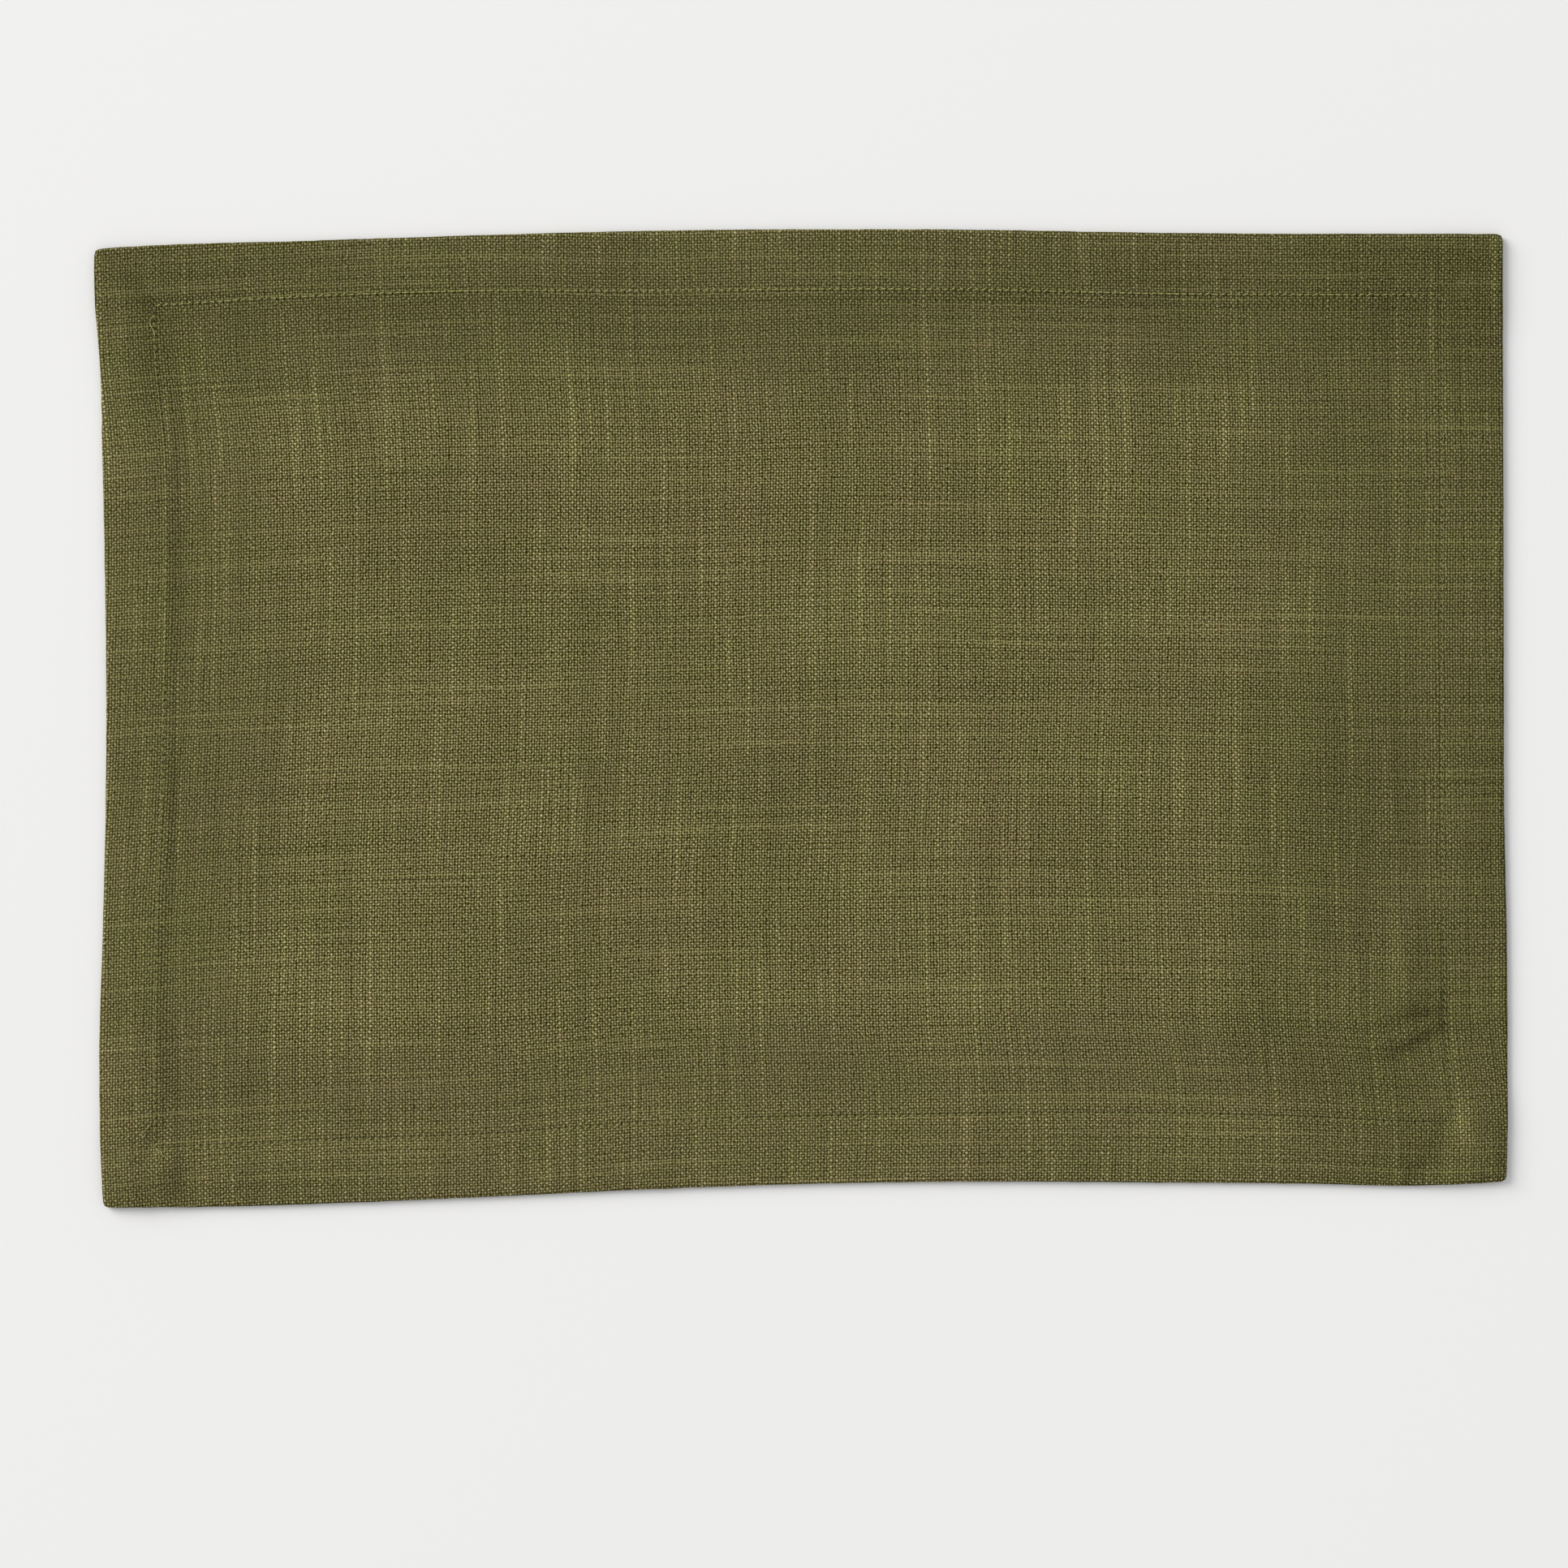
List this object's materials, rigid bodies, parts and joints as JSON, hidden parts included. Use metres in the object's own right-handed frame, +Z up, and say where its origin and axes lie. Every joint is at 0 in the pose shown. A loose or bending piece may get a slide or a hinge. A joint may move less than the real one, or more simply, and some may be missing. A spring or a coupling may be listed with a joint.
{
  "type": "fabric placemat",
  "caption": "Flat rectangular placemat of plain-woven olive cloth, with wide turned-under hems, mitred corners and gently bowed edges.",
  "frame": {"origin": "on the surface that the mat lies on, under the middle of the mat's box", "axes": "+Z up, away from the table; +X along the mat's long side; +Y towards its far long edge"},
  "size_m": [0.4526, 0.3132, 0.0038],
  "materials": {
    "olive_linen": "matt, slubby plain weave of linen and cotton yarns in a mottled olive green"
  },
  "bodies": {
    "root": {"placemat_cloth": "olive_linen"}
  },
  "joints": []
}
